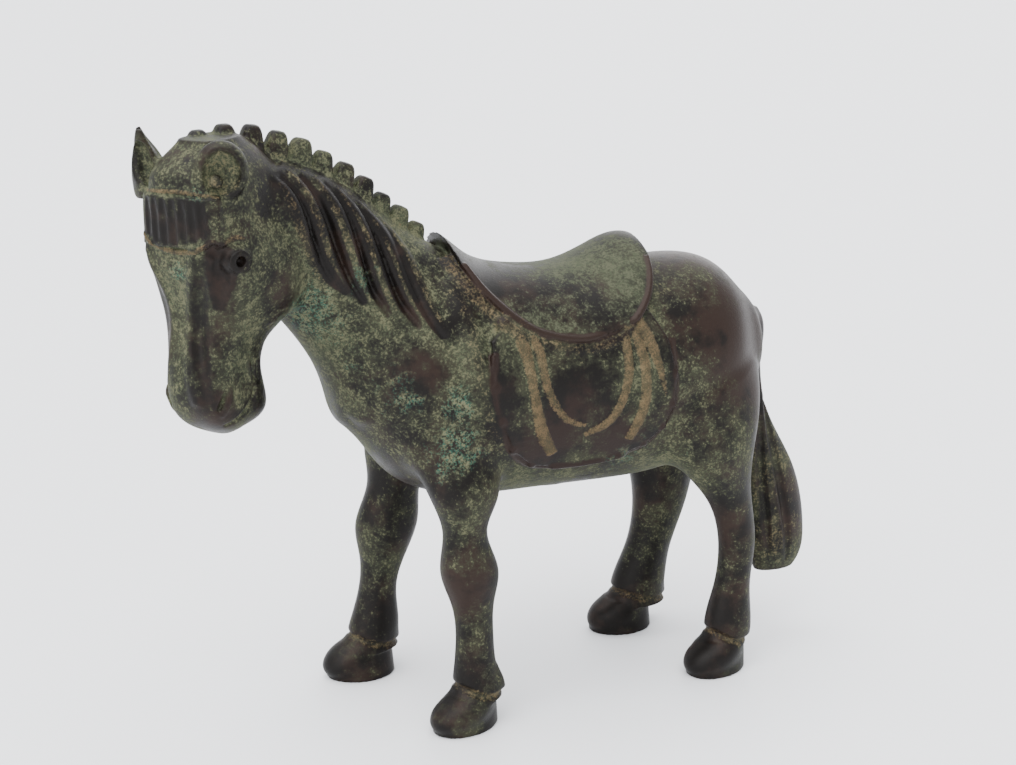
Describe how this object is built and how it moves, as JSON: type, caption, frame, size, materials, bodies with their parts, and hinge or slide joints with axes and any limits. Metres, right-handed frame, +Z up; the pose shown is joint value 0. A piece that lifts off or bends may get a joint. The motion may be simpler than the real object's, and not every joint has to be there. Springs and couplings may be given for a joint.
{
  "type": "horse statuette",
  "caption": "Cast bronze statuette of a standing saddled pony with its head turned to the left, clipped mane and long tail, standing on its own hooves.",
  "frame": {"origin": "centre of the footprint of the whole statuette, on the plane of the hoof soles", "axes": "+Z up, -X towards the nose, +X towards the tail, -Y the horse's left flank, Y = 0 its own middle plane"},
  "size_m": [0.1908, 0.0556, 0.1595],
  "materials": {
    "body_bronze": "satin cast bronze, dark brown with a mottled grey-green and turquoise patina",
    "head_bronze": "satin cast bronze, dark brown with pale green stipple in the hollows",
    "mane_bronze": "cast bronze, ochre-grey patina in the grooves, brown on the ridges",
    "saddle_bronze": "satin cast bronze, rubbed reddish brown on the rim, stippled green on the seat",
    "cloth_bronze": "satin cast bronze, tan folds on a dark brown ground",
    "tail_bronze": "satin cast bronze, grey-brown with ochre in the channels",
    "leg_bronze": "satin cast bronze, near black with pale green flecks",
    "dowel_bronze": "plain cast bronze bar, unpatinated",
    "core_iron": "rusted iron core pin"
  },
  "bodies": {
    "root": {"torso": "body_bronze", "neck": "body_bronze", "head": "head_bronze", "ear_left": "head_bronze", "ear_right": "head_bronze", "forelock": "mane_bronze", "mane_crest": "mane_bronze", "saddle": "saddle_bronze", "saddle_cloth_left": "cloth_bronze", "saddle_cloth_right": "cloth_bronze", "tail": "tail_bronze", "foreleg_left": "leg_bronze", "foreleg_right": "leg_bronze", "hindleg_left": "leg_bronze", "hindleg_right": "leg_bronze", "leg_dowels": "dowel_bronze", "neck_dowel": "dowel_bronze", "head_dowel": "dowel_bronze", "tail_dowel": "dowel_bronze", "saddle_pins": "dowel_bronze", "belly_plug": "body_bronze", "core_pins": "core_iron"}
  },
  "joints": []
}
